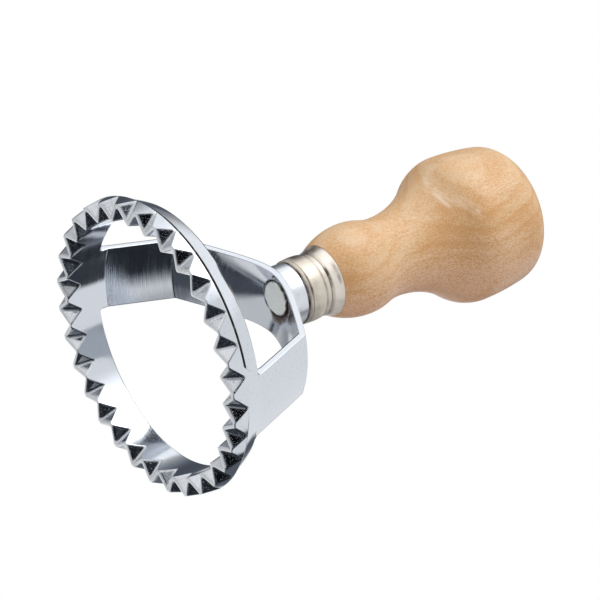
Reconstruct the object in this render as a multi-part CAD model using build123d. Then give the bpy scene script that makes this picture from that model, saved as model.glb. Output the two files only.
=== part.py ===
from build123d import *
from math import atan2, cos, hypot, pi, sin
import os

# Round ravioli stamp: a fluted cutting ring on a two-legged yoke, with a turned knob handle.
# The origin is the centre of the cutting plane, +Z runs up the handle, the legs stand at +X and -X.

# Cutting ring
tip_d = 70.0            # across the outer tips of the cutting edge
ring_wall = 4.45        # from an outer tip to the bore
crest_flare = 0.55      # how far the crest stands out past the tips
crest_z = 3.4           # height of the crest, the widest part of the ring
rim_inset = 2.05        # from an outer tip to the outer edge of the rear face
rim_z = 8.4             # height of the flat rear face
shoulder = 0.7          # how far the rear band is set in behind the crest
groove_depth = 0.2      # groove at the foot of the rear band, below the band
groove_w = 0.9          # from the crest to the groove's rear edge
groove_foot = 0.15      # from the crest to the groove's bottom
band_swell = 0.1        # how far the rear band bulges
rim_round = 0.3         # rounding of the rear outer edge

# Flutes: V grooves inside and outside that leave a thin zigzag land as the cutting edge
teeth = 30              # outer tips around the edge
outer_rise = 3.25       # height at which an outer flute runs out on the crest
inner_rise = 3.55       # height at which an inner flute runs out in the bore
tip_flat = 1.0          # width of an outer tip
root_flat = 0.5         # width of an inner tip
tip_land = 0.7          # radial land behind an outer tip
root_land = 0.85        # radial land in front of an inner tip
valley_flat = 0.35      # width of the flat bottom of a flute

# Yoke: the two legs and the crown that joins them
yoke_w = 16.2           # width of legs and crown
yoke_wall = 1.5         # wall of legs and crown
bend_d = 52.3           # across the outer bends between legs and crown
bend_z = 26.95          # height of those bends
bend_round = 0.8        # outside radius of the bends
inner_bend_round = 0.5  # inside radius of the bends
crown_rise = 15.6       # height of the crown's cone above the bends, at the axis
corner_fillet = 0.8     # hollow corners between the legs and the rear face
foot_spread = 5.0       # how far a leg's foot spreads along the crest on each side
foot_blend = 20.0       # hollow bend between a leg and its foot
hole_chamfer = 0.6      # mouth of the tang hole

# Tang: the rod through the crown, collar and ferrule into the handle
tang_d = 8.5
tang_proud = 0.5        # how far its visible end stands out of the crown
tang_l = 44.0
tang_edge = 0.3         # chamfer of the visible end
tang_point = 1.2        # chamfer of the end in the wood
tang_fit = 0.05         # radial room of the tang in every bore
tang_end_room = 1.0     # room past the tang's end in the wood

# Collar between the crown and the ferrule
collar_d = 15.1
collar_l = 4.1          # visible length
collar_edge = 0.3       # chamfer of the upper edge

# Ferrule on the front of the handle, its bands in order from the front
nose_d = 14.7           # edge of the front face
nose_l = 0.8            # rounded nose
nose_swell = 0.15       # how far the nose bulges
barrel_d = 15.9
barrel_l = 3.6
barrel_swell = 0.1      # how far the barrel bulges
waist_d = 15.5          # narrow band behind the barrel
waist_l = 1.5
line_depth = 0.2        # the two fine lines, behind the nose and behind the waist
line_l = 0.45
flare_d = 17.4          # flared end
flare_l = 2.9
ferrule_wall = 0.8      # least wall of the sleeve, at the front line
ferrule_front = 0.8     # wall of the front face
spigot_fit = 0.05       # radial room of the wood in the ferrule

# Handle: bulge, neck and knob in tangent arcs, with heights above its front edge
wood_step = 0.2         # how far the wood stands out behind the ferrule
bulge_d = 22.8
bulge_h = 9.5
bulge_round = 15.0      # radius of the bulge's profile towards the neck
neck_d = 20.0
neck_h = 18.3
shoulder_round = 10.0   # radius of the profile where the neck's sweep turns into the knob
knob_d = 37.2
knob_h = 41.8
knob_end_d = 34.0       # corner between the knob's side and its domed end, before rounding
knob_end_h = 56.2
knob_round = 6.2        # rounding of that corner
handle_l = 60.5

tip_r = tip_d / 2
bore_r = tip_r - ring_wall
crest_r = tip_r + crest_flare
rim_r = tip_r - rim_inset
bend_r = bend_d / 2
collar_r = collar_d / 2
tang_hole_r = tang_d / 2 + tang_fit
spigot_r = barrel_d / 2 - line_depth - ferrule_wall - spigot_fit


def crown_z(radius):
    """Height of the crown's outer cone at a radius."""
    return bend_z + crown_rise * (1 - radius / bend_r)


crown_wall = yoke_wall * hypot(bend_r, crown_rise) / bend_r
hole_mouth_z = crown_z(tang_hole_r) - crown_wall
tang_z = hole_mouth_z - tang_proud
ferrule_z = crown_z(collar_r) + collar_l
spigot_z = ferrule_z + ferrule_front
front_z = ferrule_z + nose_l + line_l + barrel_l + waist_l + line_l + flare_l


def revolved(profile):
    """A sketch drawn with radius to the right and height up, turned about the axis."""
    return revolve(Plane.XZ * profile, axis=Axis.Z)


def corner_of(profile, point):
    """The corner of a sketch nearest to a point."""
    return profile.vertices().sort_by_distance((*point, 0))[0]


def rounded(profile, point, radius):
    """The sketch with the corner at a point rounded."""
    return fillet(corner_of(profile, point), radius)


def ring():
    """The cutting ring before fluting: crest, groove, swelled rear band and flat rear face."""
    crest = (crest_r, crest_z)
    lip = (crest_r - shoulder, crest_z + groove_w)
    rim = (rim_r, rim_z)
    groove = (lip[0] - groove_depth, crest_z + groove_foot)
    band_middle = ((lip[0] + rim_r) / 2 + band_swell, (lip[1] + rim_z) / 2)
    profile = make_face([
        Polyline(rim, (bore_r, rim_z), (bore_r, 0), (tip_r, 0), crest, groove, lip),
        ThreePointArc(lip, band_middle, rim),
    ])
    return revolved(rounded(profile, rim, rim_round))


def yoke_front():
    """The yoke seen along X: a plain strip with spread feet and hollow corners on the rear face."""
    side = yoke_w / 2
    height = crown_z(0) - crest_z
    strip = Pos(0, crest_z + height / 2) * Rectangle(yoke_w, height)
    corner = Pos(side, rim_z) * Rectangle(corner_fillet, corner_fillet, align=Align.MIN)
    corner -= Pos(side + corner_fillet, rim_z + corner_fillet) * Circle(corner_fillet)
    spread = side + foot_spread
    foot = Polygon((-spread, crest_z), (spread, crest_z), (side, rim_z), (-side, rim_z), align=None)
    return strip + foot + corner + mirror(corner, about=Plane.YZ)


def yoke():
    """Legs and crown: a bell of even wall that is kept only over the width of the yoke."""
    leg_length = hypot(rim_r - bend_r, bend_z - rim_z)
    leg_normal = Vector(bend_z - rim_z, rim_r - bend_r) / leg_length
    crown_normal = Vector(crown_rise, bend_r) / hypot(crown_rise, bend_r)
    inset = (leg_normal + crown_normal) * yoke_wall / (1 + leg_normal.dot(crown_normal))
    rim = (rim_r, rim_z)
    bend = (bend_r, bend_z)
    inner_bend = (bend_r - inset.X, bend_z - inset.Y)
    leg_slope = (rim_r - bend_r) / (bend_z - rim_z)
    crease = (bore_r, inner_bend[1] - (bore_r - inner_bend[0]) / leg_slope)
    hole_top = (tang_hole_r, crown_z(tang_hole_r))
    hole_mouth = (tang_hole_r, hole_mouth_z)
    outside = [(bore_r, crest_z), (crest_r, crest_z), rim, bend, hole_top]
    profile = Polygon(*outside, hole_mouth, inner_bend, crease, align=None)
    profile = rounded(profile, rim, foot_blend)
    profile = rounded(profile, bend, bend_round)
    profile = rounded(profile, inner_bend, inner_bend_round)
    profile = chamfer(corner_of(profile, hole_mouth), hole_chamfer)
    return revolved(profile) & extrude(Plane.YZ * yoke_front(), crest_r, both=True)


def flute(start_r, end_r, rise, mouth_r, mouth_half_angle):
    """A flat-bottomed V cutter along a valley that climbs from the cutting plane to a wall of the ring.

    The V is as wide as the flute's mouth, which lies in the cutting plane at the mouth radius.
    """
    run = end_r - start_r
    outward = 1 if run > 0 else -1
    climb = atan2(rise, abs(run))
    reach = abs(mouth_r * cos(mouth_half_angle) - start_r) * sin(climb)
    depth = reach + ring_wall
    flat = valley_flat / 2
    side = flat + depth * (mouth_r * sin(mouth_half_angle) - flat) / reach
    section = Polygon((-flat, 0), (-side, -depth), (side, -depth), (flat, 0), align=None)
    valley = Plane(origin=(start_r, 0, 0), x_dir=(0, outward, 0), z_dir=(run, 0, rise))
    return extrude(valley * Pos(0, 0, -ring_wall) * section, hypot(run, rise) + 2 * ring_wall)


def cutter():
    """Ring and yoke as one casting, fluted outside and inside."""
    pitch = 360 / teeth
    half_pitch = pi / teeth
    outer = flute(bore_r + root_land, crest_r, outer_rise, tip_r, half_pitch - tip_flat / 2 / tip_r)
    inner = flute(tip_r - tip_land, bore_r, inner_rise, bore_r, half_pitch - root_flat / 2 / bore_r)
    outer_flutes = [Rot(0, 0, (i + 0.5) * pitch) * outer for i in range(teeth)]
    inner_flutes = [Rot(0, 0, i * pitch) * inner for i in range(teeth)]
    return ring() + yoke() - outer_flutes - inner_flutes


def tang():
    """The plain rod, with a broken edge in the crown and a blunt point in the wood."""
    bottom = (tang_d / 2, tang_z)
    top = (tang_d / 2, tang_z + tang_l)
    profile = Polygon((0, tang_z), bottom, top, (0, tang_z + tang_l), align=None)
    profile = chamfer(corner_of(profile, bottom), tang_edge)
    return revolved(chamfer(corner_of(profile, top), tang_point))


def collar():
    """A spacer with a coned seat on the crown and a flat end under the ferrule."""
    seat = (tang_hole_r, crown_z(tang_hole_r))
    seat_edge = (collar_r, crown_z(collar_r))
    top_edge = (collar_r, ferrule_z)
    profile = Polygon(seat, seat_edge, top_edge, (tang_hole_r, ferrule_z), align=None)
    return revolved(chamfer(corner_of(profile, top_edge), collar_edge))


def ferrule():
    """A stepped sleeve: rounded nose, fine line, swelled barrel, waist, fine line and flared end."""
    bore = spigot_r + spigot_fit
    barrel_r = barrel_d / 2
    waist_r = waist_d / 2
    nose_back_z = ferrule_z + nose_l
    barrel_z = nose_back_z + line_l
    waist_z = barrel_z + barrel_l
    line_z = waist_z + waist_l
    flare_z = line_z + line_l
    front = (tang_hole_r, ferrule_z)
    nose = (nose_d / 2, ferrule_z)
    nose_middle = ((nose_d / 2 + barrel_r) / 2 + nose_swell, ferrule_z + nose_l / 2)
    nose_back = (barrel_r, nose_back_z)
    front_line = (barrel_r - line_depth, nose_back_z + line_l / 2)
    barrel = (barrel_r, barrel_z)
    barrel_middle = (barrel_r + barrel_swell, barrel_z + barrel_l / 2)
    barrel_back = (barrel_r, waist_z)
    rear_line = (waist_r - line_depth, line_z + line_l / 2)
    rear_bands = [barrel_back, (waist_r, waist_z), (waist_r, line_z), rear_line, (waist_r, flare_z)]
    inside = [(flare_d / 2, front_z), (bore, front_z), (bore, spigot_z), (tang_hole_r, spigot_z), front]
    profile = make_face([
        Line(front, nose),
        ThreePointArc(nose, nose_middle, nose_back),
        Polyline(nose_back, front_line, barrel),
        ThreePointArc(barrel, barrel_middle, barrel_back),
        Polyline(*rear_bands, *inside),
    ])
    return revolved(profile)


def arc_end(start, target, radius):
    """Where an arc that leaves a point along the axis meets the line to another such point.

    A second arc from the other point to this one is tangent to the first.
    """
    line = Vector(*target) - Vector(*start)
    met = Vector(*start) + line * (2 * radius * abs(line.X) / line.length ** 2)
    return met.X, met.Y


def handle():
    """Turned wood: spigot in the ferrule, bulge, neck and domed knob, bored for the tang."""
    bore_end_z = tang_z + tang_l + tang_end_room
    front = (flare_d / 2 + wood_step, front_z)
    bulge = (bulge_d / 2, front_z + bulge_h)
    neck = (neck_d / 2, front_z + neck_h)
    knob = (knob_d / 2, front_z + knob_h)
    knob_end = (knob_end_d / 2, front_z + knob_end_h)
    end = (0, front_z + handle_l)
    bulge_end = arc_end(bulge, neck, bulge_round)
    sweep_end = arc_end(knob, neck, shoulder_round)
    bore = [end, (0, bore_end_z), (tang_hole_r, bore_end_z), (tang_hole_r, spigot_z)]
    spigot = [(spigot_r, spigot_z), (spigot_r, front_z), front]
    profile = make_face([
        TangentArc(bulge, front, tangent=(0, -1)),
        TangentArc(bulge, bulge_end, tangent=(0, 1)),
        TangentArc(neck, bulge_end, tangent=(0, -1)),
        TangentArc(neck, sweep_end, tangent=(0, 1)),
        TangentArc(knob, sweep_end, tangent=(0, -1)),
        TangentArc(knob, knob_end, tangent=(0, 1)),
        TangentArc(end, knob_end, tangent=(1, 0)),
        Polyline(*bore, *spigot),
    ])
    return revolved(rounded(profile, knob_end, knob_round))


os.makedirs("parts", exist_ok=True)
for make in (cutter, tang, collar, ferrule, handle):
    export_step(make(), f"parts/{make.__name__}.step")
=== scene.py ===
from math import cos, pi, radians, sin

import bpy
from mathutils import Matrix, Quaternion, Vector


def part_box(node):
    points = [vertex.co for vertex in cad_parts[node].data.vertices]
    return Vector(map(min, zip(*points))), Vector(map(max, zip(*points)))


# A round ravioli stamp on a pale floor, in metres, in the frame of the solids: the cutting edge lies
# in the plane z = 0, +Z runs up the handle and the two legs of the yoke stand at +X and -X.
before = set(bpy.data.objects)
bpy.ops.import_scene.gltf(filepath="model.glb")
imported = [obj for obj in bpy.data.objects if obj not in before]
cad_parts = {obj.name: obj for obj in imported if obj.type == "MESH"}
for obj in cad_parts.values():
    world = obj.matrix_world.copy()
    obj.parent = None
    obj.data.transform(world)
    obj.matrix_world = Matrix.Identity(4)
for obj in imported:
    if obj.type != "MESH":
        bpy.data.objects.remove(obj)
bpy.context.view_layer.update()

# Camera: a long lens below the cutting plane, rolled so that the handle points right and up
CAMERA_PLACE = Vector((0.3951, -0.3325, -0.2798))
CAMERA_AIM = Vector((0.0166, -0.0111, 0.0316))
CAMERA_ROLL = radians(68.61)
CAMERA_LENS = 155.56
CAMERA_SENSOR = 36.0

# Floor: half its side, the radii between which it fades out, and its colour
FLOOR_HALF = 1.5
FLOOR_FADE = (0.25, 1.4)
FLOOR_COLOUR = (0.86, 0.86, 0.86, 1)

# Surroundings: soft patches of light and dark round the object, each by its bearing to the right of
# the camera, its height above the camera's level, its inner and outer radius in degrees, and its
# brightness. Later patches lie over earlier ones. Shade is a little blue, and the blue fades out
# between the two brightnesses of SHADE_LIGHT.
ROOM_LIGHT = 0.90
PATCHES = {
    "left wall": (-53, 8, 60, 102, 0.67),
    "ceiling": (96, 71, 46, 55, 1.10),
    "far gap": (-159, 28, 1, 46, 0.09),
    "under the object": (-26, -72, 33, 44, 0.025),
    "left, under": (-75, -52, 13, 20, 0.08),
    "right, under": (140, -64, 23, 28, 0.03),
    "right, deep": (75, -68, 10, 18, 0.025),
    "camera side": (4, -13, 5, 48, 0.02),
    "camera side, left": (-23, 2.5, 9.5, 16.5, 0.005),
    "camera side, low": (-12, -32, 10, 16, 0.005),
    "behind, low": (178, -47, 20, 27, 0.13),
    "right, low": (101, -40, 5, 8, 0.045),
    "right, lower": (114, -42.5, 6, 8.5, 0.045),
    "right, gleam": (117, -54.5, 5, 9, 0.85),
    "glow": (54, 61, 18, 38, 1.50),
    "soft box": (54, 61, 14, 26, 4.00),
    "above, behind": (174, 67, 6, 14, 1.20),
    "behind, far right": (133, 26, 7, 9, 0.08),
    "behind, right": (150, 18, 13, 17, 0.08),
    "left, high": (-50, 46, 1, 34, 0.93),
    "behind": (177, 1, 22, 27, 0.11),
    "left, behind": (-167, -9, 16, 26, 0.92),
}
SHADE_TINT = (0.84, 0.96, 1.18, 1)
LIGHT_TINT = (1.0, 1.0, 1.0, 1)
SHADE_LIGHT = (0.0, 0.5)

# Limits between which the blotches of a noise pass from none to full, the share of metal that is left
# as residue goes from none to full, and the part of a place that lies across the axis of the handle
WIDE = (0.3, 0.7)
MIDDLE = (0.35, 0.65)
BARE = (0, 1, 1, 0)
ACROSS = (1, 1, 0)


def camera_turn():
    """The camera's turn: aimed at the object, then rolled about its own line of sight."""
    aimed = (CAMERA_AIM - CAMERA_PLACE).to_track_quat("-Z", "Y")
    return aimed @ Quaternion((0, 0, 1), CAMERA_ROLL)


def bearing(right, up):
    """The direction in the frame that lies so far right of the camera and above its level."""
    right = radians(right)
    up = radians(up)
    return camera_turn() @ Vector((cos(up) * sin(right), sin(up), cos(up) * cos(right)))


class Nodes:
    """Short calls that add shader nodes to one tree and give back their outputs."""

    def __init__(self, owner):
        owner.use_nodes = True
        self.tree = owner.node_tree
        self.tree.nodes.clear()

    def add(self, kind, inputs=None, **settings):
        """A new node, with each input set to a value or linked to another node's output."""
        node = self.tree.nodes.new("ShaderNode" + kind)
        for name, value in settings.items():
            setattr(node, name, value)
        for name, value in (inputs or {}).items():
            if isinstance(value, bpy.types.NodeSocket):
                self.tree.links.new(value, node.inputs[name])
            else:
                node.inputs[name].default_value = value
        return node

    def math(self, operation, a, b=0.0):
        return self.add("Math", {0: a, 1: b}, operation=operation).outputs[0]

    def times(self, *factors):
        """The product of several numbers."""
        product = factors[0]
        for factor in factors[1:]:
            product = self.math("MULTIPLY", product, factor)
        return product

    def plus(self, *terms):
        """The sum of several numbers."""
        total = terms[0]
        for term in terms[1:]:
            total = self.math("ADD", total, term)
        return total

    def vector(self, operation, a, b=(0, 0, 0)):
        return self.add("VectorMath", {0: a, 1: b}, operation=operation).outputs["Vector"]

    def dot(self, a, b):
        return self.add("VectorMath", {0: a, 1: b}, operation="DOT_PRODUCT").outputs["Value"]

    def length(self, vector):
        return self.add("VectorMath", {0: vector}, operation="LENGTH").outputs["Value"]

    def scaled(self, vector, factor):
        inputs = {0: vector, "Scale": factor}
        return self.add("VectorMath", inputs, operation="SCALE").outputs["Vector"]

    def split(self, vector):
        """The three parts of a vector."""
        return self.add("SeparateXYZ", {0: vector}).outputs

    def ramp(self, value, low, high, start=0.0, end=1.0):
        """A value that goes smoothly from start to end while its input goes from low to high."""
        span = {"From Min": low, "From Max": high, "To Min": start, "To Max": end}
        inputs = {"Value": value, **span}
        return self.add("MapRange", inputs, interpolation_type="SMOOTHSTEP").outputs[0]

    def band(self, value, low, high, soft):
        """One where the input lies between low and high, zero past a soft edge on each side."""
        return self.times(self.ramp(value, low - soft, low), self.ramp(value, high + soft, high))

    def mix(self, share, a, b):
        """A number between a and b."""
        return self.add("Mix", {0: share, 2: a, 3: b}).outputs[0]

    def tint(self, share, a, b):
        """A colour between a and b."""
        return self.add("Mix", {0: share, 6: a, 7: b}, data_type="RGBA").outputs[2]

    def noise(self, place, scale, detail):
        return self.add("TexNoise", {"Vector": place, "Scale": scale, "Detail": detail}).outputs["Fac"]

    def drawn_noise(self, place, along, scale, detail):
        """A noise drawn out along Z, with this share of its frequency there."""
        return self.noise(self.vector("MULTIPLY", place, (1, 1, along)), scale, detail)

    def bump(self, height, depth, normal=None):
        inputs = {"Height": height, "Distance": depth}
        if normal:
            inputs["Normal"] = normal
        return self.add("Bump", inputs).outputs["Normal"]

    def finish(self, colour, rough, normal, metal=0.0):
        """The surface that these make, as the tree's output."""
        inputs = {"Base Color": colour, "Metallic": metal, "Roughness": rough, "Normal": normal}
        shader = self.add("BsdfPrincipled", inputs)
        self.add("OutputMaterial", {"Surface": shader.outputs[0]})


def make_camera():
    """The camera that stands where the photo was taken from."""
    data = bpy.data.cameras.new("camera")
    data.lens = CAMERA_LENS
    data.sensor_width = CAMERA_SENSOR
    camera = bpy.data.objects.new("camera", data)
    camera.location = CAMERA_PLACE
    camera.rotation_mode = "QUATERNION"
    camera.rotation_quaternion = camera_turn()
    bpy.context.collection.objects.link(camera)
    bpy.context.scene.camera = camera


def make_world():
    """Pale surroundings with soft patches of light and dark, and plain white behind the object."""
    world = bpy.data.worlds.new("studio")
    nodes = Nodes(world)
    way = nodes.add("TexCoord").outputs["Generated"]
    shade = ROOM_LIGHT
    for right, up, inner, outer, light in PATCHES.values():
        along = nodes.dot(way, bearing(right, up))
        cover = nodes.ramp(along, cos(radians(outer)), cos(radians(inner)))
        shade = nodes.mix(cover, shade, light)
    tint = nodes.tint(nodes.ramp(shade, *SHADE_LIGHT), SHADE_TINT, LIGHT_TINT)
    room = nodes.add("Background", {"Color": tint, "Strength": shade})
    white = nodes.add("Background", {"Color": (1, 1, 1, 1)})
    seen = nodes.add("LightPath").outputs["Is Camera Ray"]
    mixed = nodes.add("MixShader", {0: seen, 1: room.outputs[0], 2: white.outputs[0]})
    nodes.add("OutputWorld", {"Surface": mixed.outputs[0]})
    bpy.context.scene.world = world


def make_floor():
    """A pale floor that fades out far away, shows only its upper side and is not reflected."""
    mesh = bpy.data.meshes.new("floor")
    corners = [(x * FLOOR_HALF, y * FLOOR_HALF, 0) for x, y in ((-1, -1), (1, -1), (1, 1), (-1, 1))]
    mesh.from_pydata(corners, [], [(0, 1, 2, 3)])
    floor = bpy.data.objects.new("floor", mesh)
    bpy.context.collection.objects.link(floor)
    material = bpy.data.materials.new("floor")
    nodes = Nodes(material)
    under = nodes.add("NewGeometry").outputs["Backfacing"]
    glossy = nodes.add("LightPath").outputs["Is Glossy Ray"]
    far = nodes.ramp(nodes.length(nodes.add("TexCoord").outputs["Object"]), *FLOOR_FADE)
    unseen = nodes.math("MAXIMUM", nodes.math("MAXIMUM", under, glossy), far)
    pale = nodes.add("BsdfDiffuse", {"Color": FLOOR_COLOUR})
    clear = nodes.add("BsdfTransparent")
    mixed = nodes.add("MixShader", {0: unseen, 1: pale.outputs[0], 2: clear.outputs[0]})
    nodes.add("OutputMaterial", {"Surface": mixed.outputs[0]})
    mesh.materials.append(material)


def dress(node, material):
    """Gives a CAD node its material."""
    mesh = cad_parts[node].data
    mesh.materials.clear()
    mesh.materials.append(material)


# Chrome plate of the cutter: its colours and those of the residue on it. The darkest residue colour
# also serves as painted shade in the groove behind the crest and in the collar's joint.
CHROME = (0.68, 0.72, 0.78, 1)
CHROME_PIT = (0.16, 0.16, 0.18, 1)
CHROME_FLUTE = (0.78, 0.81, 0.85, 1)
CHROME_SHADE = (0.30, 0.31, 0.34, 1)
DIRT_AND_SHADE = (0.014, 0.011, 0.009, 1)
STAIN = (0.034, 0.023, 0.016, 1)
RUST = (0.120, 0.072, 0.045, 1)

# Places on the cutter: the rear face of the ring, the band before it, the sides of the yoke, the
# flutes, the groove behind the crest (painted shade with some dirt), the crown, and the stain at one
# side of the tang
RIM_Z = 0.0084
RIM_SOFT = 0.0006
BAND_Z = (RIM_Z - 0.0016, RIM_Z - 0.0010)
SIDE_Z = (RIM_Z, RIM_Z + 0.001)
FLUTE_Z = (0.006, 0.005)
GROOVE_Z = (0.00345, 0.00440)
GROOVE_Z_SOFT = 0.00006
GROOVE_R = 0.03496
GROOVE_R_SOFT = 0.00005
CROWN_Z = (0.018, 0.020)
STAIN_Z = (0.0278, 0.028)
TANG_R = 0.00425
STAIN_SIDE = Vector((0.92, 0.39, 0))
STAIN_REACH = (-0.002, 0.005, 0.0003, 0.0021)
STAIN_FADE = (1.1, 0.5)
STAIN_UNEVEN = 0.2
STAIN_STRENGTH = 0.9

# Ways that a face of the cutter can look, by the part of its normal that lies outward, down or aside
FACES_IN = (-0.2, -0.6)
FACES_DOWN = (-0.25, -0.4)
FACES_CROWN = (0.0, -0.2)
FACES_ASIDE = (0.97, 0.99)
BAND_OUT = (0.5, 0.6)
PIT_OUT = (0.3, 0.6)
GROOVE_OUT = (0.2, 0.4)

# Softened edges, by radius, and the relief of the plate: noises by their scale and detail, and depths
EDGE_ROUND = 0.0003
SIDE_ROUND = 0.0005
BAND_ROUND = 0.0007
FLUTE_ROUND = 0.0012
EDGE_SAMPLES = 16
FEED = 0.0006
FEED_DEPTH = 0.0000004
TURNED_NOISE = (60.0, 3.0)
TURNED_SQUEEZE = 60.0
TURNED_DEPTH = 0.000011
GRAIN_NOISE = (4200.0, 3.0)
GRAIN_DEPTH = 0.000003
FLUTE_GRAIN = (0.64, 0.70)
FLUTE_GRAIN_DEPTH = 0.000018
WAVE_NOISE = (90.0, 1.0)
WAVE_DEPTH = 0.00006

# Roughness of the plate: plain, or by the limits of a noise and the roughness at each
PLATE_ROUGH = 0.05
BORE_ROUGH = (*MIDDLE, 0.08, 0.12)
LEG_ROUGH = (*MIDDLE, 0.07, 0.14)
CROWN_ROUGH = (*MIDDLE, 0.12, 0.20)
FLUTE_ROUGH = (0.55, 0.70, 0.03, 0.12)
RESIDUE_ROUGH = 1.0

# Pits outside, dark grain that comes in patches in the flutes, and clouds in the residue and in the
# painted shade of the groove
PIT_SCALE = 1700.0
PIT_SIZE = (0.26, 0.12)
PIT_RARE = (0.4, 0.8)
PIT_STRENGTH = 0.55
SHADE_GRAIN = (0.55, 0.40, 0.0, 0.6)
SHADE_NOISE = (140.0, 1.0)
SHADE_PATCH = (0.4, 0.6, 0.3, 1.0)
CLOUD_NOISE = (450.0, 3.0)
STAIN_NOISE = (500.0, 2.0)
GROOVE_CLOUD = (0.25, 0.45, 0.75, 1.0)


def chrome_plate():
    """Bright plate over a turned casting: turned lines inside, grainy flutes, pits, residue, and painted
    shade with some dirt in the groove behind the crest.
    """
    material = bpy.data.materials.new("chrome_plate")
    nodes = Nodes(material)
    coords = nodes.add("TexCoord")
    place = coords.outputs["Object"]
    facing = coords.outputs["Normal"]
    x, y, z = nodes.split(place)
    facing_y = nodes.split(facing)["Y"]
    facing_z = nodes.split(facing)["Z"]
    spoke = nodes.vector("MULTIPLY", place, ACROSS)
    radius = nodes.length(spoke)
    outward = nodes.dot(nodes.vector("NORMALIZE", spoke), facing)

    # Where the bore, the legs' inner faces, the flutes, the crown, the yoke's sides and the band lie
    inside = nodes.ramp(outward, *FACES_IN)
    leg_inside = nodes.times(inside, nodes.ramp(z, RIM_Z, RIM_Z + RIM_SOFT))
    down = nodes.ramp(facing_z, *FACES_DOWN)
    flute = nodes.times(down, nodes.ramp(z, *FLUTE_Z))
    crown = nodes.times(down, nodes.ramp(z, *CROWN_Z))
    aside = nodes.ramp(nodes.math("ABSOLUTE", facing_y), *FACES_ASIDE)
    side = nodes.times(aside, nodes.ramp(z, *SIDE_Z))
    band_z = nodes.times(nodes.ramp(z, *BAND_Z), nodes.ramp(z, RIM_Z + RIM_SOFT, RIM_Z))
    band = nodes.times(nodes.ramp(outward, *BAND_OUT), band_z)

    up_wall = nodes.times(nodes.math("SUBTRACT", z, radius), TURNED_SQUEEZE)
    turned_place = nodes.add("CombineXYZ", {0: x, 1: y, 2: up_wall}).outputs[0]
    turned = nodes.noise(turned_place, *TURNED_NOISE)
    feed = nodes.math("SINE", nodes.times(up_wall, 2 * pi / FEED / TURNED_SQUEEZE))
    grain = nodes.noise(place, *GRAIN_NOISE)
    wave = nodes.noise(place, *WAVE_NOISE)
    edge_round = nodes.mix(side, EDGE_ROUND, SIDE_ROUND)
    edge_round = nodes.mix(band, edge_round, BAND_ROUND)
    edge_round = nodes.mix(flute, edge_round, FLUTE_ROUND)
    normal = nodes.add("Bevel", {"Radius": edge_round}, samples=EDGE_SAMPLES).outputs["Normal"]
    normal = nodes.bump(nodes.times(feed, leg_inside), FEED_DEPTH, normal)
    normal = nodes.bump(nodes.times(turned, leg_inside), TURNED_DEPTH, normal)
    normal = nodes.bump(nodes.times(grain, leg_inside), GRAIN_DEPTH, normal)
    flute_grain = nodes.times(nodes.ramp(grain, *FLUTE_GRAIN), flute)
    normal = nodes.bump(flute_grain, FLUTE_GRAIN_DEPTH, normal)
    normal = nodes.bump(wave, WAVE_DEPTH, normal)

    rough = nodes.mix(inside, PLATE_ROUGH, nodes.ramp(turned, *BORE_ROUGH))
    rough = nodes.mix(leg_inside, rough, nodes.ramp(turned, *LEG_ROUGH))
    rough = nodes.mix(flute, rough, nodes.ramp(grain, *FLUTE_ROUGH))
    rough = nodes.mix(crown, rough, nodes.ramp(turned, *CROWN_ROUGH))

    cell = nodes.add("TexVoronoi", {"Vector": place, "Scale": PIT_SCALE})
    rare = nodes.split(cell.outputs["Color"])["X"]
    spot = nodes.times(nodes.ramp(cell.outputs["Distance"], *PIT_SIZE), nodes.ramp(rare, *PIT_RARE))
    pit = nodes.times(spot, nodes.ramp(outward, *PIT_OUT), PIT_STRENGTH)
    colour = nodes.tint(pit, CHROME, CHROME_PIT)
    shade_patch = nodes.ramp(nodes.noise(place, *SHADE_NOISE), *SHADE_PATCH)
    grainy = nodes.times(nodes.ramp(grain, *SHADE_GRAIN), shade_patch)
    colour = nodes.tint(flute, colour, nodes.tint(grainy, CHROME_FLUTE, CHROME_SHADE))

    cloud = nodes.noise(place, *CLOUD_NOISE)
    # The groove behind the crest: painted shade of its concave step, with some dirt, broken by clouds
    groove_r = nodes.ramp(radius, GROOVE_R + GROOVE_R_SOFT, GROOVE_R)
    groove_dirt_and_shade = nodes.times(nodes.band(z, *GROOVE_Z, GROOVE_Z_SOFT), groove_r)
    groove_dirt_and_shade = nodes.times(groove_dirt_and_shade, nodes.ramp(outward, *GROOVE_OUT), nodes.ramp(cloud, *GROOVE_CLOUD))
    reach = nodes.ramp(nodes.dot(place, STAIN_SIDE), *STAIN_REACH)
    spread = nodes.math("DIVIDE", nodes.math("SUBTRACT", radius, TANG_R), reach)
    uneven = nodes.ramp(nodes.noise(place, *STAIN_NOISE), *WIDE, -STAIN_UNEVEN, STAIN_UNEVEN)
    stain = nodes.ramp(nodes.plus(spread, uneven), *STAIN_FADE)
    stain = nodes.times(stain, nodes.ramp(facing_z, *FACES_CROWN), nodes.ramp(z, *STAIN_Z))
    stain_colour = nodes.tint(nodes.ramp(cloud, *MIDDLE), STAIN, RUST)
    colour = nodes.tint(groove_dirt_and_shade, colour, DIRT_AND_SHADE)
    colour = nodes.tint(nodes.times(stain, STAIN_STRENGTH), colour, stain_colour)
    residue = nodes.math("MAXIMUM", groove_dirt_and_shade, stain)
    rough = nodes.mix(residue, rough, RESIDUE_ROUGH)
    nodes.finish(colour, rough, normal, nodes.ramp(residue, *BARE))
    return material


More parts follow.
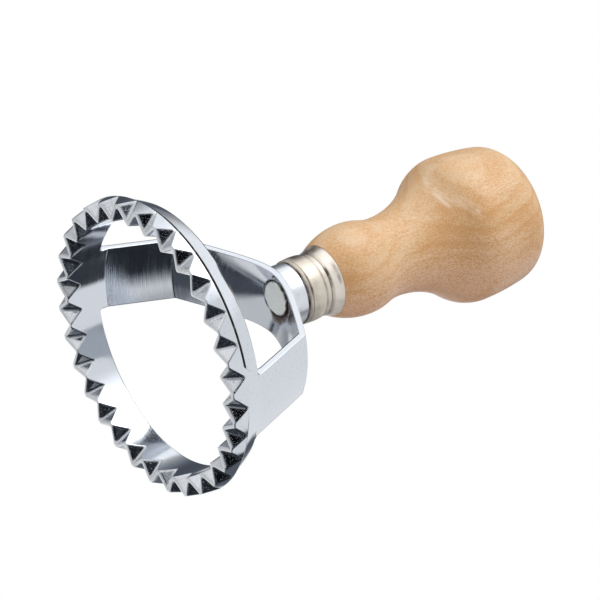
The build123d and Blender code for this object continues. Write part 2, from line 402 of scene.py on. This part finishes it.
# Satin plate of the collar, with dark residue and painted shade of the gap where it meets the ferrule
FERRULE_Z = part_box("ferrule")[0][2]
SATIN = (0.74, 0.77, 0.82, 1)
SATIN_DULL = (0.64, 0.66, 0.72, 1)
SATIN_CLOUD_NOISE = (500.0, 3.0)
SATIN_CLOUD = (0.4, 0.75)
SATIN_ROUGH = (*WIDE, 0.26, 0.34)
SATIN_AROUND = (0.05, 0.05, 1)
SATIN_TURNED_NOISE = (5000.0, 2.0)
SATIN_TURNED_DEPTH = 0.000002
JOINT_SHADE_Z = (FERRULE_Z - 0.00042, FERRULE_Z - 0.0002)
JOINT_CLOUD = (0.3, 0.6, 0.75, 1.0)


def satin_plate():
    """Soft plate on a turned spacer: faint turned lines, and a dark joint with the ferrule, painted
    shade of the gap with residue.
    """
    material = bpy.data.materials.new("satin_plate")
    nodes = Nodes(material)
    place = nodes.add("TexCoord").outputs["Object"]
    z = nodes.split(place)["Z"]
    turned = nodes.noise(nodes.vector("MULTIPLY", place, SATIN_AROUND), *SATIN_TURNED_NOISE)
    cloud = nodes.noise(place, *SATIN_CLOUD_NOISE)
    # The joint with the ferrule: painted shade of the gap there, with residue
    joint_shade_and_residue = nodes.times(nodes.ramp(z, *JOINT_SHADE_Z), nodes.ramp(cloud, *JOINT_CLOUD))
    colour = nodes.tint(nodes.ramp(cloud, *SATIN_CLOUD), SATIN, SATIN_DULL)
    colour = nodes.tint(joint_shade_and_residue, colour, DIRT_AND_SHADE)
    rough = nodes.mix(joint_shade_and_residue, nodes.ramp(cloud, *SATIN_ROUGH), RESIDUE_ROUGH)
    normal = nodes.bump(turned, SATIN_TURNED_DEPTH)
    nodes.finish(colour, rough, normal, nodes.ramp(joint_shade_and_residue, *BARE))
    return material


# Bare steel of the tang, with residue that begins near its edge, further in on the stained side
STEEL = (0.93, 0.97, 0.96, 1)
STEEL_DULL = (0.83, 0.88, 0.86, 1)
STEEL_METAL = (0, 1, 0.85, 0)
STEEL_ROUGH = (*WIDE, 0.32, 0.45)
STEEL_FINE_NOISE = (3000.0, 2.0)
STEEL_FINE_DEPTH = 0.000012
STEEL_CLOUD_NOISE = (600.0, 3.0)
STEEL_CLOUD_DEPTH = 0.00004
STEEL_STAIN_R = (0.0043, 0.0049)
STEEL_STAIN_SIDE = (-0.004, 0.004, 0.0, 0.0005)
STEEL_STAIN_CLOUD = (*WIDE, 0.0, 0.0005)


def bare_steel():
    """Sawn and dulled steel, with dark residue round the edge of the visible end."""
    material = bpy.data.materials.new("bare_steel")
    nodes = Nodes(material)
    place = nodes.add("TexCoord").outputs["Object"]
    radius = nodes.length(nodes.vector("MULTIPLY", place, ACROSS))
    fine = nodes.noise(place, *STEEL_FINE_NOISE)
    cloud = nodes.noise(place, *STEEL_CLOUD_NOISE)
    side = nodes.ramp(nodes.dot(place, STAIN_SIDE), *STEEL_STAIN_SIDE)
    edge = nodes.plus(radius, side, nodes.ramp(cloud, *STEEL_STAIN_CLOUD))
    residue = nodes.ramp(edge, *STEEL_STAIN_R)
    colour = nodes.tint(nodes.ramp(fine, *WIDE), STEEL, STEEL_DULL)
    colour = nodes.tint(residue, colour, nodes.tint(nodes.ramp(cloud, *MIDDLE), STAIN, RUST))
    metal = nodes.ramp(residue, *STEEL_METAL)
    rough = nodes.mix(residue, nodes.ramp(fine, *STEEL_ROUGH), RESIDUE_ROUGH)
    normal = nodes.bump(cloud, STEEL_CLOUD_DEPTH, nodes.bump(fine, STEEL_FINE_DEPTH))
    nodes.finish(colour, rough, normal, metal)
    return material


# Nickel plate of the ferrule. Each line of tarnish goes by its lower and upper height above the front
# edge, its softness, and its strength away from and on the side where the tarnish is strongest. The
# line at the front edge is also painted shade of the gap with the collar.
NICKEL = (0.65, 0.595, 0.515, 1)
# The flare is a paler copy of the nickel: painted light that makes up for the dark reflection of its
# slope
FLARE_PAINTED_LIGHT = (0.87, 0.805, 0.73, 1)
FLARE_H = (0.0069, 0.0077)
TARNISH = (0.34, 0.28, 0.22, 1)
DARK_TARNISH_AND_SHADE = (0.07, 0.05, 0.036, 1)
TARNISH_LINES = {
    "front edge, shade of the gap": (0.0, 0.00022, 0.00010, 0.95, 0.95),
    "step of the nose": (0.00095, 0.00125, 0.00030, 0.0, 1.0),
    "line on the barrel": (0.00495, 0.00525, 0.00045, 0.42, 0.55),
    "waist": (0.00670, 0.00705, 0.00030, 0.0, 0.95),
    "flare": (0.00880, 0.00915, 0.00040, 0.0, 0.5),
}
TARNISH_SIDE = Vector((0.73, -0.68, 0))
TARNISH_SIDE_FADE = (0.92, 0.985)
TARNISH_NOISE = (480.0, 3.0)
TARNISH_BROKEN = (0.35, 0.6, 0.45, 1.0)
TARNISH_EDGE = Vector((-0.57, -0.82, 0))
TARNISH_EDGE_FADE = (0.77, 0.97)
TARNISH_EDGE_H = (0.0008, 0.0022, 0.3, 1.0)
TARNISH_EDGE_CLOUD = (0.3, 0.6, 0.5, 0.9)
NICKEL_CLOUD_NOISE = (350.0, 3.0)
NICKEL_DULL = (0.45, 0.8, 0.0, 0.4)
NICKEL_METAL = 0.45
FLARE_METAL = 0.25
NICKEL_ROUGH = (*WIDE, 0.30, 0.42)
TARNISH_ROUGH = 0.6
NICKEL_FINE_NOISE = (2600.0, 3.0)
NICKEL_FINE_DEPTH = 0.000002
NICKEL_DENT = (0.35, 260.0, 1.0)
NICKEL_DENT_DEPTH = 0.00010


def nickel_plate():
    """Warm, slightly dull plate on thin pressed sheet, with broken tarnish in its lines, painted shade
    at its front edge, and a paler flare that is painted light.
    """
    material = bpy.data.materials.new("nickel_plate")
    nodes = Nodes(material)
    place = nodes.add("TexCoord").outputs["Object"]
    height = nodes.math("SUBTRACT", nodes.split(place)["Z"], FERRULE_Z)
    around = nodes.vector("NORMALIZE", nodes.vector("MULTIPLY", place, ACROSS))
    cloud = nodes.noise(place, *NICKEL_CLOUD_NOISE)
    fine = nodes.noise(place, *NICKEL_FINE_NOISE)
    dent = nodes.drawn_noise(place, *NICKEL_DENT)

    toward = nodes.dot(around, TARNISH_SIDE)
    broken = nodes.ramp(nodes.noise(place, *TARNISH_NOISE), *TARNISH_BROKEN)
    lines = 0.0
    for low, high, soft, least, most in TARNISH_LINES.values():
        strength = nodes.times(nodes.ramp(toward, *TARNISH_SIDE_FADE, least, most), broken)
        line = nodes.times(nodes.band(height, low, high, soft), strength)
        lines = nodes.math("MAXIMUM", lines, line)
    edge = nodes.ramp(nodes.dot(around, TARNISH_EDGE), *TARNISH_EDGE_FADE)
    edge = nodes.times(edge, nodes.ramp(cloud, *TARNISH_EDGE_CLOUD), nodes.ramp(height, *TARNISH_EDGE_H))

    # The paler flare is painted light
    flare = nodes.ramp(height, *FLARE_H)
    colour = nodes.tint(flare, NICKEL, FLARE_PAINTED_LIGHT)
    colour = nodes.tint(nodes.ramp(cloud, *NICKEL_DULL), colour, TARNISH)
    colour = nodes.tint(edge, colour, DARK_TARNISH_AND_SHADE)
    colour = nodes.tint(lines, colour, DARK_TARNISH_AND_SHADE)
    rough = nodes.mix(lines, nodes.ramp(fine, *NICKEL_ROUGH), TARNISH_ROUGH)
    normal = nodes.bump(fine, NICKEL_FINE_DEPTH, nodes.bump(dent, NICKEL_DENT_DEPTH))
    nodes.finish(colour, rough, normal, nodes.mix(flare, NICKEL_METAL, FLARE_METAL))
    return material


# Wood of the handle: its colours, and the side that the light reaches least, which gets a pinker,
# bluer colour as painted light of a cool fill from below
WOOD_PALE = (0.678, 0.492, 0.304, 1)
WOOD_TAN = (0.690, 0.458, 0.262, 1)
WOOD_WARM = (0.56, 0.29, 0.105, 1)
WOOD_PAINTED_UNDERLIGHT = (0.76, 0.470, 0.325, 1)
WOOD_SMEAR = (0.82, 0.67, 0.51, 1)
WOOD_ROUGH = (*WIDE, 0.34, 0.48)
PAINTED_UNDERLIGHT_SIDE = Vector((0.455, 0.835, -0.309))
PAINTED_UNDERLIGHT_FADE = (-0.2, 0.95)

# Growth rings: where the heart line of the tree crosses z = 0, its lean per metre of height, the
# width of a year, its uneven edge, and how a ring warms up and ends within the year
HEART = (-0.0282, 0.0888)
HEART_LEAN = (0.25, -0.10)
YEAR = 0.0027
YEAR_UNEVEN = 0.0006
RING_RISE = (0.25, 0.85)
RING_END = (1.0, 0.88)

# Figure along the grain: each noise by its share of frequency along Z, its scale and its detail
SWIRL = (0.5, 40.0, 2.0)
PATCH = (0.5, 130.0, 3.0)
HUE = (0.5, 420.0, 3.0)
LINE = (0.06, 1300.0, 2.0)
FIBRE = (0.05, 2800.0, 2.0)
FLECK = (0.3, 4800.0, 3.0)
LINE_DEPTH = 0.00002
FLECK_DEPTH = 0.00001

# How much each warms the wood: two limits of its value, and the warmth at each. The rings go by the
# distance from the heart line.
RING_WARMTH = (0.0835, 0.0885, 0.10, 0.27)
PATCH_WARMTH = (0.4, 0.75, 0.0, 0.35)
LINE_WARMTH = (0.5, 0.7, 0.0, 0.15)
FIBRE_WARMTH = (*MIDDLE, -0.12, 0.12)
FLECK_WARMTH = (0.36, 0.64, -0.16, 0.54)
# Extra fleck contrast on the side the light reaches least, part of its painted underlight
FLECK_WARMTH_IN_PAINTED_UNDERLIGHT = (0.36, 0.64, -0.32, 0.28)

# Warmer and paler spots, by their middle, radius and warmth. The warm spots on the shoulder and the
# knob are painted shade where the handle turns from the light; the pale ones are painted light on its
# lit top.
SPOTS_OF_TONE_AND_PAINTED_LIGHT = {
    "behind the ferrule": ((0.0086, -0.0048, 0.0532), 0.0065, 0.60),
    "neck": ((0.0092, -0.0058, 0.0765), 0.0070, 0.35),
    "shoulder": ((0.0126, -0.0072, 0.0862), 0.0120, 0.48),
    "shoulder, upper": ((0.0115, -0.0135, 0.0900), 0.0050, 0.45),
    "knob": ((0.0172, -0.0056, 0.1030), 0.0110, 0.35),
    "bulge, painted light": ((-0.0021, -0.0107, 0.0575), 0.0080, -0.40),
    "shoulder, painted light": ((-0.0035, -0.0150, 0.0865), 0.0055, -0.30),
}

# A rubbed scuff round the shoulder, as strokes by their start, end and strength, and its streaks
SCUFF = (
    ((-0.0050, -0.0166, 0.0888), (-0.0042, -0.0148, 0.0861), 0.45),
    ((-0.0042, -0.0148, 0.0861), (-0.0012, -0.0142, 0.0845), 0.50),
    ((-0.0012, -0.0142, 0.0845), (0.0028, -0.0138, 0.0843), 0.60),
    ((0.0028, -0.0138, 0.0843), (0.0061, -0.0132, 0.0850), 0.70),
    ((0.0064, -0.0140, 0.0860), (0.0103, -0.0137, 0.0884), 0.50),
    ((0.0103, -0.0137, 0.0884), (0.0127, -0.0121, 0.0892), 0.55),
)
SCUFF_HALF = 0.0021
SCUFF_WAY = Vector((0.95, 0.20, 0.23)).normalized()
SCUFF_DRAW = -0.9
SCUFF_STREAK_NOISE = (1500.0, 2.0)


def wood_scuff(nodes, place):
    """The share of rubbed wood: soft strokes, broken into streaks that run along the scuff."""
    scuff = 0.0
    for start, end, strength in SCUFF:
        start = Vector(start)
        way = Vector(end) - start
        offset = nodes.vector("SUBTRACT", place, start)
        share = nodes.add("Clamp", {0: nodes.dot(offset, way / way.length_squared)}).outputs[0]
        away = nodes.length(nodes.vector("SUBTRACT", offset, nodes.scaled(way, share)))
        scuff = nodes.math("MAXIMUM", scuff, nodes.ramp(away, SCUFF_HALF, 0.0, 0.0, strength))
    along = nodes.times(nodes.dot(place, SCUFF_WAY), SCUFF_DRAW)
    drawn = nodes.vector("ADD", place, nodes.scaled(SCUFF_WAY, along))
    streak = nodes.noise(drawn, *SCUFF_STREAK_NOISE)
    return nodes.times(scuff, nodes.ramp(streak, *WIDE))


def wood():
    """Pale close-grained wood: growth rings cut by the turning, flecks along the grain, a scuff, and
    painted light and shade on its underside and in spots.
    """
    material = bpy.data.materials.new("wood")
    nodes = Nodes(material)
    coords = nodes.add("TexCoord")
    place = coords.outputs["Object"]
    # The side the light reaches least gets painted light: a pinker, bluer colour and more contrast in
    # its flecks
    under = nodes.ramp(nodes.dot(coords.outputs["Normal"], PAINTED_UNDERLIGHT_SIDE), *PAINTED_UNDERLIGHT_FADE)
    heart_x = nodes.math("SUBTRACT", nodes.dot(place, (1, 0, -HEART_LEAN[0])), HEART[0])
    heart_y = nodes.math("SUBTRACT", nodes.dot(place, (0, 1, -HEART_LEAN[1])), HEART[1])
    heart_r = nodes.length(nodes.add("CombineXYZ", {0: heart_x, 1: heart_y}).outputs[0])
    swirl = nodes.ramp(nodes.drawn_noise(place, *SWIRL), *WIDE, -YEAR_UNEVEN, YEAR_UNEVEN)
    years = nodes.math("DIVIDE", nodes.plus(heart_r, swirl), YEAR)
    season = nodes.math("FRACT", years)
    rings = nodes.times(nodes.ramp(season, *RING_RISE), nodes.ramp(season, *RING_END))
    flecks = nodes.drawn_noise(place, *FLECK)
    fibres = nodes.drawn_noise(place, *FIBRE)
    lines = nodes.drawn_noise(place, *LINE)
    patches = nodes.drawn_noise(place, *PATCH)
    hue = nodes.drawn_noise(place, *HUE)

    warmth_and_painted_light = nodes.plus(
        nodes.times(rings, nodes.ramp(heart_r, *RING_WARMTH)),
        nodes.ramp(patches, *PATCH_WARMTH),
        nodes.ramp(lines, *LINE_WARMTH),
        nodes.ramp(fibres, *FIBRE_WARMTH),
        nodes.ramp(flecks, *FLECK_WARMTH),
    )
    # Spots: painted shade on the shoulder and the knob where the handle turns from the light, and
    # painted light in the pale ones
    for middle, radius, strength in SPOTS_OF_TONE_AND_PAINTED_LIGHT.values():
        away = nodes.length(nodes.vector("SUBTRACT", place, middle))
        warmth_and_painted_light = nodes.plus(warmth_and_painted_light, nodes.ramp(away, radius, 0.0, 0.0, strength))
    warmth_and_painted_light = nodes.plus(warmth_and_painted_light, nodes.times(under, nodes.ramp(flecks, *FLECK_WARMTH_IN_PAINTED_UNDERLIGHT)))
    colour = nodes.tint(nodes.ramp(hue, *WIDE), WOOD_PALE, WOOD_TAN)
    colour = nodes.tint(under, colour, WOOD_PAINTED_UNDERLIGHT)
    colour = nodes.tint(warmth_and_painted_light, colour, WOOD_WARM)
    colour = nodes.tint(wood_scuff(nodes, place), colour, WOOD_SMEAR)
    rough = nodes.ramp(flecks, *WOOD_ROUGH)
    normal = nodes.bump(flecks, FLECK_DEPTH, nodes.bump(lines, LINE_DEPTH))
    nodes.finish(colour, rough, normal)
    return material


bpy.context.scene.view_settings.view_transform = "Standard"
make_camera()
make_world()
make_floor()
dress("cutter", chrome_plate())
dress("collar", satin_plate())
dress("tang", bare_steel())
dress("ferrule", nickel_plate())
dress("handle", wood())
